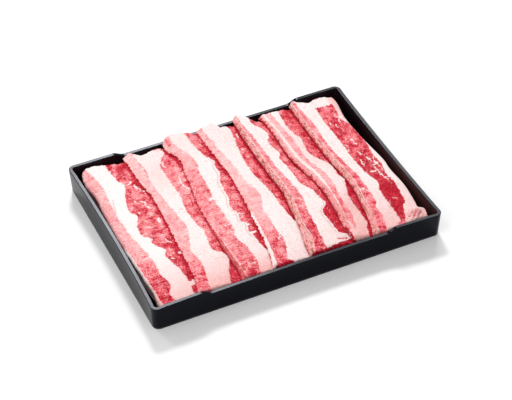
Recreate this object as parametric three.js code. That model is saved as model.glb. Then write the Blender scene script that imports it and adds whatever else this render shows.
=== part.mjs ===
// Sliced beef brisket in a black plastic tray.
// Seven long slices lie side by side across the tray like roof tiles. Each one has a thick rounded edge on
// its left that rests on the slice before it, and slopes down on its right to the tray's floor, under the
// next slice.
// Millimetres, +Z up, +X along the tray's long side, +Y from its front to its back, origin under its middle.
import * as THREE from "three";

// Tray
const TRAY_LENGTH = 250;
const TRAY_WIDTH = 185;
const TRAY_HEIGHT = 22;
const RIM_WIDTH = 3.2; // thickness of the wall at its top
const RIM_ROUNDING = 0.6;
const FLOOR_THICKNESS = 2;
const WALL_DRAFT = 1; // the wall's foot stands this far inside its top
const BASE_ROUNDING = 2.2; // of the edge between the wall and the underside
const INNER_ROUNDING = 1.8; // of the edge between the wall and the floor inside
const RIM_CORNER_RADIUS = 6;
const BASE_CORNER_RADIUS = 9;
const SIDE_BOW = { front: 2.4, right: 1.2, back: 0, left: 2.2 }; // how far the rim's middle leans in
const CUTAWAY_DEPTH = 3.6; // the long sides are lower along their middle
const CUTAWAY_LOW = 75; // half length of the low stretch
const CUTAWAY_HIGH = 85; // where the rim is back at its full height

// Slices. `edge` is the height of the rounded left edge above the slice below it. `left` is that edge's
// outline as [y, x], `crest` its height as [y, z], and `back` the outline of the back end as [x, y].
const SLICES = [
  {
    edge: 5,
    left: [[-88, -117.4], [-70, -115.8], [-50, -117], [-20, -118.2], [20, -118], [50, -116.4], [70, -118.4],
      [80, -116.5], [88, -112.5]],
    crest: [[-88, 19.5], [-40, 21], [20, 21.5], [88, 20.5]],
    back: [[-118, 83], [-112, 87.5], [-95, 84.5], [-72, 80]],
  },
  {
    edge: 3.8,
    left: [[-88, -85.5], [-70, -81.5], [-50, -79.5], [-30, -78.6], [-10, -77], [30, -75.5], [50, -77.5],
      [88, -79]],
    crest: [[-88, 20], [-40, 21.5], [20, 22.5], [88, 22.5]],
    back: [[-78, 86], [-73, 88], [-64, 81], [-52, 83.5], [-46, 82.5], [-38, 78]],
  },
  {
    edge: 4.4,
    left: [[-88, -46.8], [-72, -45.5], [-50, -47.5], [-10, -46.5], [10, -45], [30, -41.5], [50, -39.5],
      [58, -37.2], [66, -38.6], [76, -43.5], [88, -43]],
    crest: [[-88, 20], [-40, 22], [20, 23], [60, 23.5], [88, 26]],
    back: [[-43, 83.5], [-37, 88.4], [-25, 88.8], [-14, 86.5], [-6, 84]],
  },
  {
    edge: 4.2,
    left: [[-88, -22.5], [-70, -18], [-50, -14.5], [-30, -13], [-10, -10.5], [20, -8], [50, -9.3], [88, -11.5]],
    crest: [[-88, 20], [-40, 22], [20, 23], [60, 23.8], [88, 26]],
    front: [[-22, -85.4], [-6, -86], [20, -85.2]],
    back: [[-11, 86.5], [-2, 87.8], [4, 88.8], [9, 84], [26, 83]],
  },
  {
    edge: 5.4,
    left: [[-88, 10], [-70, 12.6], [-50, 17], [-30, 19.6], [-10, 22.4], [10, 21.4], [50, 21.2], [88, 22.2]],
    crest: [[-88, 20], [-40, 22.5], [20, 23.8], [60, 24.4], [88, 26.4]],
    front: [[10, -85], [30, -84], [56, -83]],
    back: [[22, 86], [28, 88.8], [34, 87], [40, 82], [50, 80]],
  },
  {
    edge: 4.8,
    left: [[-88, 49.5], [-70, 48.6], [-50, 50.6], [-30, 52.3], [-10, 51.2], [10, 47.8], [30, 45.6], [50, 46.5],
      [70, 47], [88, 43.5]],
    crest: [[-88, 18.5], [-70, 21.5], [-40, 22.5], [20, 23], [88, 22.5]],
    front: [[48, -83], [60, -84], [74, -85.8]],
    back: [[44, 82.5], [52, 85], [64, 86], [82, 84]],
  },
  {
    edge: 5,
    left: [[-88, 64.5], [-70, 70], [-50, 73.4], [-30, 75.6], [-10, 75.4], [10, 74], [50, 74], [88, 75]],
    crest: [[-88, 20], [-40, 22.5], [20, 23], [88, 23.5]],
    back: [[75, 86], [78, 88], [84, 85.5], [91, 82], [102, 85.5], [113, 84]],
  },
];
const LAST = SLICES.length - 1;
const FRONT_ENDS = [[-118, -87.6], [-60, -86.8], [0, -86.3], [60, -86.8], [118, -87.6]]; // [x, y]
const RIGHT_EDGE = [[-88, 114.5], [-76, 115.6], [-68, 113.6], [-45, 115.4], [-22, 114], [-10, 115], [20, 111.6],
  [53, 110.4], [75, 114.4], [88, 113]]; // of the last slice, as [y, x]
const RIGHT_EDGE_HEIGHT = 19.5;
const RIGHT_ROUNDING = 2.4;
const RIGHT_TUCK = 4; // how far in the last slice's right side starts on the floor
const LEFT_TUCK = 3; // the same for the first slice's left side
const CURL = { x: 108, y: -80, radius: 9, height: 1.8 }; // fat curled over at the last slice's front corner
const CROWN = 1.4; // above 1, a slice's top stays high near its left edge before it falls away
const WAVE = { height: 0.5, length: 70 }; // along each slice
const TAIL_WIDTH = 20; // over this a slice's right part falls to the floor, under the next slice
const CLEARANCE = 0.5; // straight up, between a slice and what it rests on
const UNDERSIDE = FLOOR_THICKNESS + CLEARANCE;
const END_ROUNDING = 2.2;
const END_LEAN = 2; // the ends lean out: on the floor they stand this far inside their outline

// Places of the cross-sections and of the points along each of their stretches.
const MIDDLE_SECTIONS = Array.from({ length: 15 }, (_, k) => -77 + 11 * k);
const END_SECTIONS = [2.2, 1, 0.3, 0]; // distance from a slice's end
const TAIL_STEPS = [1, 0.75, 0.45, 0.2];
const TOP_STEPS = 8;
const NOSE_STEPS = [0.78, 0.57, 0.36, 0.16];

const mix = (a, b, t) => a + (b - a) * t;
const clamp01 = (t) => Math.min(Math.max(t, 0), 1);
const smooth = (t) => clamp01(t) ** 2 * (3 - 2 * clamp01(t));

// A smooth line through stations [position, value], level beyond the first and the last.
function along(stations, position) {
  const last = stations.length - 1;
  if (position <= stations[0][0]) return stations[0][1];
  if (position >= stations[last][0]) return stations[last][1];
  const i = stations.findIndex(([p]) => p > position) - 1;
  const slopeAt = (k) => {
    const before = stations[Math.max(k - 1, 0)];
    const after = stations[Math.min(k + 1, last)];
    return (after[1] - before[1]) / (after[0] - before[0]);
  };
  const span = stations[i + 1][0] - stations[i][0];
  const t = (position - stations[i][0]) / span;
  const ease = t * t * (3 - 2 * t);
  const lean = t * (1 - t) ** 2 * slopeAt(i) - t * t * (1 - t) * slopeAt(i + 1);
  return mix(stations[i][1], stations[i + 1][1], ease) + span * lean;
}

// A closed body through rings of equally many points. Every ring runs anticlockwise for a viewer whom the
// last ring faces. `lid` finds the triangles that close the first and the last.
function loft(rings, lid) {
  const points = rings.flat();
  const size = rings[0].length;
  const lastStart = points.length - size;
  const index = [];
  for (let start = 0; start < lastStart; start += size) {
    for (let k = 0; k < size; k++) {
      const a = start + k;
      const b = start + ((k + 1) % size);
      index.push(a, b, b + size, a, b + size, a + size);
    }
  }
  lid(rings[0], 0, points).forEach(([a, b, c]) => index.push(a, c, b));
  lid(rings[rings.length - 1], lastStart, points).forEach((triangle) => index.push(...triangle));
  const geometry = new THREE.BufferGeometry().setFromPoints(points);
  geometry.setIndex(index);
  geometry.computeVertexNormals();
  return geometry;
}

// Triangles from the middle of a ring to each of its edges.
function fanLid(ring, start, points) {
  const middle = new THREE.Vector3(0, 0, ring[0].z);
  const hub = points.push(middle) - 1;
  return ring.map((_, k) => [hub, start + k, start + ((k + 1) % ring.length)]);
}

// Triangles between the points of an uneven outline, as seen from the front.
function outlineLid(ring, start) {
  const outline = ring.map((point) => new THREE.Vector2(point.x, point.z));
  const triangles = THREE.ShapeUtils.triangulateShape(outline, []);
  return triangles.map((triangle) => triangle.map((k) => start + k));
}

// The tray's plan at height z, `inset` inside its outer face. `rise` goes from 0 at its foot to 1 at its top.
function trayPlan(z, inset) {
  const rise = z / TRAY_HEIGHT;
  const setback = WALL_DRAFT * (1 - rise) + inset;
  return {
    rise,
    halfX: TRAY_LENGTH / 2 - setback,
    halfY: TRAY_WIDTH / 2 - setback,
    radius: Math.max(mix(BASE_CORNER_RADIUS, RIM_CORNER_RADIUS, rise) - inset, 1),
  };
}

function longSidePoint(side, x, z, inset) {
  const { halfY, rise } = trayPlan(z, inset);
  const bow = SIDE_BOW[side] * rise * (1 - ((2 * x) / TRAY_LENGTH) ** 2);
  return new THREE.Vector3(x, (side === "front" ? -1 : 1) * (halfY - bow), z);
}

function shortSidePoint(side, y, z, inset) {
  const { halfX, rise } = trayPlan(z, inset);
  const bow = SIDE_BOW[side] * rise * (1 - ((2 * y) / TRAY_WIDTH) ** 2);
  return new THREE.Vector3((side === "left" ? -1 : 1) * (halfX - bow), y, z);
}

function cornerPoint(signX, signY, angle, z, inset) {
  const { halfX, halfY, radius } = trayPlan(z, inset);
  const x = signX * (halfX - radius) + radius * Math.cos(angle);
  const y = signY * (halfY - radius) + radius * Math.sin(angle);
  return new THREE.Vector3(x, y, z);
}

// The rim drops along the middle of the long sides, with a slanted step at each end.
function rimHeight(x) {
  const back = smooth((Math.abs(x) - CUTAWAY_LOW) / (CUTAWAY_HIGH - CUTAWAY_LOW));
  return TRAY_HEIGHT - CUTAWAY_DEPTH * (1 - back);
}

// One ring round the tray, anticlockwise from above. heightOf turns the rim's height at a point into z.
function trayRing(inset, heightOf) {
  const halfway = [24, 48, 75, 77.5, 80, 82.5, 85, 102];
  const xs = [...[...halfway].reverse().map((x) => -x), 0, ...halfway];
  const ys = [-64, -42, -21, 0, 21, 42, 64];
  const high = heightOf(TRAY_HEIGHT);
  const longSide = (side, stations) =>
    stations.map((x) => longSidePoint(side, x, heightOf(rimHeight(x)), inset));
  const shortSide = (side, stations) => stations.map((y) => shortSidePoint(side, y, high, inset));
  const corner = (signX, signY, start) =>
    [0, 1, 2, 3, 4, 5].map((k) => cornerPoint(signX, signY, start + (k * Math.PI) / 10, high, inset));
  return [
    ...longSide("front", xs),
    ...corner(1, -1, -Math.PI / 2),
    ...shortSide("right", ys),
    ...corner(1, 1, 0),
    ...longSide("back", [...xs].reverse()),
    ...corner(-1, 1, Math.PI / 2),
    ...shortSide("left", [...ys].reverse()),
    ...corner(-1, -1, Math.PI),
  ];
}

// Rings from the underside up the outer face, over the rim and down the inner face to the floor.
function trayGeometry() {
  const bend = (radius, share) => radius * (1 - Math.sin((share * Math.PI) / 2));
  const foot = [0, 0.5, 1].map((share) =>
    trayRing(bend(BASE_ROUNDING, share), () => bend(BASE_ROUNDING, 1 - share)),
  );
  const rim = [
    trayRing(0, (height) => height - RIM_ROUNDING),
    trayRing(RIM_ROUNDING, (height) => height),
    trayRing(RIM_WIDTH - RIM_ROUNDING, (height) => height),
    trayRing(RIM_WIDTH, (height) => height - RIM_ROUNDING),
  ];
  const floor = [1, 0.5, 0].map((share) =>
    trayRing(RIM_WIDTH + bend(INNER_ROUNDING, share), () => FLOOR_THICKNESS + bend(INNER_ROUNDING, 1 - share)),
  );
  return loft([...foot, ...rim, ...floor], fanLid);
}

const leftEdge = (i, y) => along(SLICES[i].left, y);
const crestHeight = (i, y) => along(SLICES[i].crest, y);
const frontEnd = (i, x) => along(SLICES[i].front ?? FRONT_ENDS, x);
const backEnd = (i, x) => along(SLICES[i].back, x);

// Where a slice's top ends on the right: under the next slice's rounded edge, or at its own right side.
function topEnd(i, y) {
  if (i === LAST) return { x: along(RIGHT_EDGE, y), z: RIGHT_EDGE_HEIGHT };
  const next = SLICES[i + 1];
  return { x: leftEdge(i + 1, y) + next.edge / 2, z: crestHeight(i + 1, y) - next.edge };
}

// Height of a slice's top, from its crest on the left to its end on the right.
function topHeight(i, x, y) {
  const left = leftEdge(i, y);
  const end = topEnd(i, y);
  const share = clamp01((x - left) / (end.x - left));
  const wave = WAVE.height * Math.sin((2 * Math.PI * y) / WAVE.length + 2.1 * i) * Math.sin(Math.PI * share);
  const fromCurl = ((x - CURL.x) ** 2 + (y - CURL.y) ** 2) / CURL.radius ** 2;
  const curl = i === LAST ? CURL.height * Math.exp(-2 * fromCurl) : 0;
  return mix(crestHeight(i, y), end.z, share ** CROWN) + wave + curl;
}

// A point down a slice's tail, from its top's end (step 0) to the floor (step 1).
function tailPoint(i, y, step, lift) {
  const end = topEnd(i, y);
  return [end.x + step * TAIL_WIDTH, mix(end.z, UNDERSIDE, smooth(step)) + lift, lift > 0 ? 0 : (1 - step) ** 2];
}

// The right side of the cross-section, from the floor up.
function rightSide(i, y) {
  if (i < LAST) return TAIL_STEPS.map((step) => tailPoint(i, y, step, 0));
  const end = topEnd(i, y);
  return [
    [end.x - RIGHT_TUCK, UNDERSIDE, 0],
    [end.x - 0.2 * RIGHT_TUCK, end.z / 2, 0],
    [end.x, end.z - RIGHT_ROUNDING, 0.5],
    [end.x - 0.3 * RIGHT_ROUNDING, end.z - 0.3 * RIGHT_ROUNDING, 1],
  ];
}

// The top from right to left, up to the rounded edge.
function topLine(i, y) {
  const end = topEnd(i, y);
  const start = i < LAST ? end.x : end.x - RIGHT_ROUNDING;
  const stop = leftEdge(i, y) + SLICES[i].edge / 2;
  return Array.from({ length: TOP_STEPS + 1 }, (_, k) => {
    const x = mix(start, stop, k / TOP_STEPS);
    return [x, topHeight(i, x, y), 1];
  });
}

// The half-round left edge, from the top down to where it rests.
function noseLine(i, y) {
  const radius = SLICES[i].edge / 2;
  const middle = leftEdge(i, y) + radius;
  const top = topHeight(i, middle, y);
  const foot = i > 0 ? topEnd(i - 1, y).z + CLEARANCE : top - SLICES[i].edge;
  const round = NOSE_STEPS.map((turn) => {
    const angle = Math.PI * (turn - 0.5);
    return [middle - radius * Math.cos(angle), mix(foot, top, 0.5 + 0.5 * Math.sin(angle)), turn];
  });
  return [...round, [middle, foot, 0]];
}

// The underside and left side, from below the rounded edge down to the floor.
function leftSide(i, y) {
  if (i === 0) {
    const left = leftEdge(i, y);
    return [[left + 0.4 * LEFT_TUCK, crestHeight(i, y) / 3, 0], [left + LEFT_TUCK, UNDERSIDE, 0]];
  }
  const slope = [...TAIL_STEPS].reverse().map((step) => tailPoint(i - 1, y, step, CLEARANCE));
  const [heelX] = slope[slope.length - 1];
  return [...slope, [heelX + CLEARANCE, UNDERSIDE, 0]];
}

// The cross-section at y, anticlockwise seen from the front, as [x, z, share of the rounding at the ends].
function sliceSection(i, y) {
  return [...rightSide(i, y), ...topLine(i, y), ...noseLine(i, y), ...leftSide(i, y)];
}

// A section near an end follows the end's outline, so each of its points finds its own y, and its top is
// rounded down towards the end. `toward` is -1 at the front and 1 at the back.
function endSection(i, toward, distance) {
  const outline = toward < 0 ? frontEnd : backEnd;
  const drop = END_ROUNDING - Math.sqrt(END_ROUNDING ** 2 - (END_ROUNDING - distance) ** 2);
  return sliceSection(i, 85 * toward).map((_, k) => {
    let y = 85 * toward;
    for (let pass = 0; pass < 4; pass++) {
      const [x, z] = sliceSection(i, y)[k];
      y = outline(i, x) - toward * (distance + END_LEAN * clamp01(1 - z / TRAY_HEIGHT));
    }
    const [x, z, share] = sliceSection(i, y)[k];
    return new THREE.Vector3(x, y, z - drop * share);
  });
}

function sliceGeometry(i) {
  const middle = MIDDLE_SECTIONS.map((y) => sliceSection(i, y).map(([x, z]) => new THREE.Vector3(x, y, z)));
  const front = [...END_SECTIONS].reverse().map((distance) => endSection(i, -1, distance));
  const back = END_SECTIONS.map((distance) => endSection(i, 1, distance));
  return loft([...front, ...middle, ...back].reverse(), outlineLid);
}

function namedMesh(name, geometry, material) {
  const mesh = new THREE.Mesh(geometry, material);
  mesh.name = name;
  return mesh;
}

const blackPlastic = new THREE.MeshStandardMaterial({ color: 0x15161a, roughness: 0.35, metalness: 0 });
const rawBeef = new THREE.MeshStandardMaterial({ color: 0xe58c8f, roughness: 0.4, metalness: 0 });

const pack = new THREE.Group();
pack.add(namedMesh("tray", trayGeometry(), blackPlastic));
SLICES.forEach((_, i) => pack.add(namedMesh(`slice_${i + 1}`, sliceGeometry(i), rawBeef)));

export default pack;
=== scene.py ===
# %% [markdown]
# # Seven slices of beef brisket in a black tray
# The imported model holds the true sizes: a low plastic tray and seven slices, laid like roof tiles. This
# lesson dresses it. Every shape is a numpy grid worked out from a few named sizes in millimetres, and every
# colour comes from a procedural material, so nothing is painted by hand and nothing is read from an image.

import math

import bpy
import numpy as np
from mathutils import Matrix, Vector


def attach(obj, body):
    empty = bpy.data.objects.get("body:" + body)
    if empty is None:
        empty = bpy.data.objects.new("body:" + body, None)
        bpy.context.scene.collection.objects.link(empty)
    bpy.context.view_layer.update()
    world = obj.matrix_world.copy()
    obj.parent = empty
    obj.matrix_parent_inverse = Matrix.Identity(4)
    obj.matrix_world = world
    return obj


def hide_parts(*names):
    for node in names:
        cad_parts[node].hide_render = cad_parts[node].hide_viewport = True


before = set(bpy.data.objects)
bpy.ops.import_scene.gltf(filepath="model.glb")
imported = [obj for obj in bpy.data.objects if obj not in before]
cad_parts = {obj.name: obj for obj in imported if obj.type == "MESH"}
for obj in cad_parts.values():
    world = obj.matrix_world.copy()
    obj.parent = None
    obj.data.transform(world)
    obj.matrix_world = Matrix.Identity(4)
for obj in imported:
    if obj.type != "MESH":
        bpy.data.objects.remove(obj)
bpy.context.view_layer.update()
MM = 0.001
print("nodes in the frame:", sorted(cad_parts))

# %% [markdown]
# ## Small tools
# A slice's edge, its height and the borders between fat and lean are all long wavering lines. Each one is
# kept as a few stations and drawn as a smooth curve through them, which hardly overshoots between them.

# %% Curves, blends and a repeatable noise
LATTICE, LATTICE_X, LATTICE_Y = 256, 64.3, 71.9


def along(stations, position):
    """Smooth line through stations (position, value): between two of them a cubic that takes its end slopes
    from the stations on either side, and level beyond the first and the last."""
    place, value = np.array(stations, float).T
    number = np.arange(len(place))
    before, after = np.maximum(number - 1, 0), np.minimum(number + 1, number[-1])
    slope = (value[after] - value[before]) / (place[after] - place[before])
    position = np.clip(position, place[0], place[-1])
    i = np.clip(np.searchsorted(place, position, side="right") - 1, 0, len(place) - 2)
    span = place[i + 1] - place[i]
    t = (position - place[i]) / span
    tilt = t * (1 - t) ** 2 * slope[i] - t * t * (1 - t) * slope[i + 1]
    return mix(value[i], value[i + 1], ease(t)) + span * tilt


def mix(a, b, t):
    """a where t is 0, b where t is 1, and in proportion between."""
    return a + (b - a) * t


def ease(t):
    """0 below 0, 1 above 1, and an S-shaped rise between."""
    t = np.clip(t, 0, 1)
    return t * t * (3 - 2 * t)


def lumps(x, y, size, seed):
    """Noise from -1 to 1 with lumps about `size` across: random heights on a square lattice, blended over
    each square with an S-shaped weight in both directions."""
    lattice = np.random.default_rng(seed).uniform(-1, 1, (LATTICE + 1, LATTICE + 1))
    u = np.asarray(x) / size + LATTICE_X
    v = np.asarray(y) / size + LATTICE_Y
    column, row = np.floor(u).astype(int), np.floor(v).astype(int)
    across, upward = ease(u - column), ease(v - row)
    column, row = column % LATTICE, row % LATTICE
    near = mix(lattice[row, column], lattice[row, column + 1], across)
    far = mix(lattice[row + 1, column], lattice[row + 1, column + 1], across)
    return mix(near, far, upward)


def layered(x, y, layers, shift=0):
    """Lumps of several sizes added up, from layers (height, size, seed)."""
    return sum(height * lumps(x, y, size, seed + shift) for height, size, seed in layers)


print("a lump between two stations:", round(float(lumps(3.0, 4.0, 5.0, 1)), 3))

# %% [markdown]
# ## From grids to a mesh
# A grid of points becomes quads by joining each point to its neighbours. Where two grids share an edge,
# their points fall on the same places, so points that agree to a thousandth of a millimetre are welded.
# The signed volume of the result tells whether its faces look outwards, and turns them if they do not.

# %% Grid faces, welding and mesh making
def grid_faces(rows, columns, first=0, around=False):
    """Quads between the points of a rows x columns grid, numbered row by row from `first`. With `around`,
    the last column joins the first."""
    number = first + np.arange(rows * columns).reshape(rows, columns)
    right = np.roll(number, -1, axis=1) if around else number[:, 1:]
    left = number if around else number[:, :-1]
    return np.stack([left[:-1], right[:-1], right[1:], left[1:]], axis=-1).reshape(-1, 4)


def weld(points, faces):
    """Makes one point of those that agree to 0.001 mm, and drops the faces that lose their area by it."""
    key = np.round(points, 3)
    _, keep, inverse = np.unique(key, axis=0, return_index=True, return_inverse=True)
    faces = inverse.reshape(-1)[faces]
    corners = [faces[:, k] != faces[:, (k + 1) % 4] for k in range(4)]
    quads = faces[np.all(corners, axis=0)]
    thin = faces[np.sum(corners, axis=0) == 3]
    triangles = [list(dict.fromkeys(face)) for face in thin.tolist()]
    return points[keep], [*quads.tolist(), *[t for t in triangles if len(t) == 3]]


def signed_volume(points, faces):
    """Sum over the faces of the volume between each one and the origin: positive when they face out."""
    total = 0.0
    for size in (3, 4):
        group = np.array([f for f in faces if len(f) == size], int).reshape(-1, size)
        for k in range(1, size - 1):
            a, b, c = points[group[:, 0]], points[group[:, k]], points[group[:, k + 1]]
            total += np.einsum("ij,ij->", a, np.cross(b, c)) / 6
    return total


def new_object(name, data):
    """Puts a mesh, a light or a camera into the scene."""
    holder = bpy.data.objects.new(name, data)
    bpy.context.scene.collection.objects.link(holder)
    return holder


def make_piece(name, points, faces):
    """A smooth-shaded object at the origin from points in millimetres."""
    if signed_volume(points, faces) < 0:
        faces = [face[::-1] for face in faces]
    mesh = bpy.data.meshes.new(name)
    mesh.from_pydata((points * MM).tolist(), [], faces)
    mesh.validate()
    mesh.shade_smooth()
    return new_object(name, mesh)


# %% [markdown]
# ## The tray's shape
# The real tray is one thin moulding: straight walls with a little draft, a rim about 3 mm wide, rounded
# corners, and long sides that step down by 3.6 mm along their middle. It could be a box with a bevel and an
# inset, but then the stepped rim and the slightly bowed sides would need hand work. Instead one ring that
# follows the wall's plan is carried through a list of heights and insets: from the underside over a narrow
# foot, up the outside, over the rim and down the inside.

# %% The tray's sizes and its plan
TRAY_LENGTH, TRAY_WIDTH, TRAY_HEIGHT = 250.0, 185.0, 22.0
RIM_WIDTH, RIM_ROUNDING, RIM_MARGIN = 3.2, 0.4, 0.15
FLOOR_THICKNESS = 2.0
WALL_DRAFT = 1.0
FOOT_HEIGHT = 1.2
INNER_ROUNDING = 1.8
CORNER_RADIUS, SMALLEST_RADIUS, CORNER_POINTS = 5.5, 1.0, 17
BOW_FRONT, BOW_RIGHT, BOW_BACK, BOW_LEFT = 2.4, 1.2, 0.0, 2.2
CUTAWAY_DEPTH = 3.6
CUTAWAY_LOW, CUTAWAY_HIGH = 75.0, 85.0
LONG_SIDE = [(-112, -86, 14), (-85, -75, 26), (-73, 73, 74), (75, 85, 26), (86, 112, 14)]
SHORT_SIDE = (-80, 80, 81)


def rim_height(x):
    """Height of the rim's top: full height, less the cutaway where |x| is small, with an S-shaped step."""
    back_up = ease((np.abs(x) - CUTAWAY_LOW) / (CUTAWAY_HIGH - CUTAWAY_LOW))
    return TRAY_HEIGHT - CUTAWAY_DEPTH * (1 - back_up)


def tray_ring(inset, height_of):
    """One closed ring round the wall, `inset` inside its outer face. A side point sits half the tray's size
    out, less the draft, which grows towards the foot, and less a bow, a parabola that is largest at mid-side
    and grows with height. A corner is a quarter circle. height_of turns the rim's height into z. The points
    of a side are given as (from, to, how many), and lie close together on the ramps."""
    x = np.concatenate([np.linspace(*part) for part in LONG_SIDE])
    y = np.linspace(*SHORT_SIDE)
    high = height_of(np.full(1, TRAY_HEIGHT))[0]
    radius = max(CORNER_RADIUS - inset, SMALLEST_RADIUS)

    def reach(size, z):
        return size / 2 - (WALL_DRAFT * (1 - z / TRAY_HEIGHT) + inset)

    def bowed(bow, z, place, size):
        return bow * z / TRAY_HEIGHT * (1 - (2 * place / size) ** 2)

    def long_side(sign, bow):
        z = height_of(rim_height(x))
        out = reach(TRAY_WIDTH, z) - bowed(bow, z, x, TRAY_LENGTH)
        return np.stack([x, sign * out, z], axis=1)

    def short_side(sign, bow):
        out = reach(TRAY_LENGTH, high) - bowed(bow, high, y, TRAY_WIDTH)
        return np.stack([sign * out, y, np.full_like(y, high)], axis=1)

    def corner(sign_x, sign_y, start):
        angle = start + np.linspace(0, math.pi / 2, CORNER_POINTS)
        middle_x = sign_x * (reach(TRAY_LENGTH, high) - radius)
        middle_y = sign_y * (reach(TRAY_WIDTH, high) - radius)
        return np.stack([middle_x + radius * np.cos(angle), middle_y + radius * np.sin(angle),
                         np.full_like(angle, high)], axis=1)

    return np.concatenate([
        long_side(-1, BOW_FRONT), corner(1, -1, -math.pi / 2), short_side(1, BOW_RIGHT), corner(1, 1, 0),
        long_side(1, BOW_BACK)[::-1], corner(-1, 1, math.pi / 2), short_side(-1, BOW_LEFT)[::-1],
        corner(-1, -1, math.pi)])


# %% [markdown]
# The edges that catch the light matter most: the two small roundings of the rim draw a bright line along it,
# and each gets five steps of a quarter circle. The flat underside lies at the foot's height. It and the
# floor are closed with rings that shrink to the middle. An attribute marks the inner side, where a painted
# reflection of the meat goes.

# %% Build the tray
WALL_SHARES = (0.03, 0.35, 0.7, 0.97)
RIM_END = 26
REFLECTION_X, REFLECTION_Y, REFLECTION_WIDTH_X, REFLECTION_WIDTH_Y, LEAST_REFLECTION = 60.0, 60.0, 55.0, 100.0, 0.15


def arc(radius, count):
    """Points of a quarter circle as (in, up), from (0, 0) to (radius, radius), leaving straight up."""
    angles = np.linspace(0, math.pi / 2, count)
    return [(radius * (1 - math.cos(angle)), radius * math.sin(angle)) for angle in angles]


def level(z):
    """Height of a ring that lies flat."""
    return lambda rim: np.full_like(rim, z)


def below_rim(drop):
    """Height of a ring that follows the rim's top, `drop` below it."""
    return lambda rim: rim - drop


def tray_rings():
    """The profile from the underside round to the floor, one ring a step: the foot, the wall, the rim's
    outer rounding, its flat top, its inner rounding, and the rounding down to the floor."""
    rounding = [(i, RIM_ROUNDING - up) for i, up in arc(RIM_ROUNDING, 6)]
    margin = RIM_ROUNDING + RIM_MARGIN
    foot = [tray_ring(i, level(up)) for i, up in arc(FOOT_HEIGHT, 7)[::-1]]
    wall = [tray_ring(0, lambda rim, s=s: mix(FOOT_HEIGHT, rim - RIM_ROUNDING, s)) for s in WALL_SHARES]
    outer = [tray_ring(i, below_rim(drop)) for i, drop in rounding]
    flat = [tray_ring(i, below_rim(0)) for i in (margin, RIM_WIDTH - margin)]
    inner = [tray_ring(RIM_WIDTH - i, below_rim(drop)) for i, drop in rounding[::-1]]
    floor = [tray_ring(RIM_WIDTH + i, level(FLOOR_THICKNESS + INNER_ROUNDING - up))
             for i, up in arc(INNER_ROUNDING, 7)]
    return [*foot, *wall, *outer, *flat, *inner, *floor]


rings = tray_rings()
shrink = np.array([0.02, 0.35, 0.7])[:, None, None]
under = rings[0][None] * np.concatenate([np.repeat(shrink, 2, 2), np.ones((3, 1, 1))], axis=2)
floor_in = rings[-1][None] * np.concatenate([np.repeat(shrink[::-1], 2, 2), np.ones((3, 1, 1))], axis=2)
tray_grid = np.concatenate([under, np.array(rings), floor_in])
ring_count, ring_size = tray_grid.shape[:2]
tray_faces = grid_faces(ring_count, ring_size, around=True).tolist()
for row, up in ((0, -1), (ring_count - 1, 1)):
    lid = list(range(row * ring_size, (row + 1) * ring_size))
    tray_faces.append(lid[::up])
tray = make_piece("brisket_tray", tray_grid.reshape(-1, 3), tray_faces)
# The inner side below the rim gets a painted reflection of the meat, strongest on the right towards the
# front, beside the last slice, and faint elsewhere.
inner_side = tray.data.attributes.new("inner", "FLOAT", "POINT")
near_last_slice = (ease((tray_grid[..., 0] - REFLECTION_X) / REFLECTION_WIDTH_X)
                   * ease((REFLECTION_Y - tray_grid[..., 1]) / REFLECTION_WIDTH_Y))
painted_reflection = (np.arange(ring_count)[:, None] > RIM_END) * mix(LEAST_REFLECTION, 1.0, near_last_slice)
inner_side.data.foreach_set("value", painted_reflection.ravel().astype(np.float32))
print("tray rings:", ring_count, "of", ring_size, "points")

# %% [markdown]
# ## The outlines of the slices
# Each slice lies on the one to its left, with a thick rounded edge, and its right part slides down to the
# floor under the next one. A few stations say where its left edge runs, how high its crest is and where
# its ends are. `thin` says how thick a thinner edge is, and `cut` how far its upper half is a slanting face.
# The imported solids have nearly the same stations, so the finer surface here fits over them.

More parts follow.
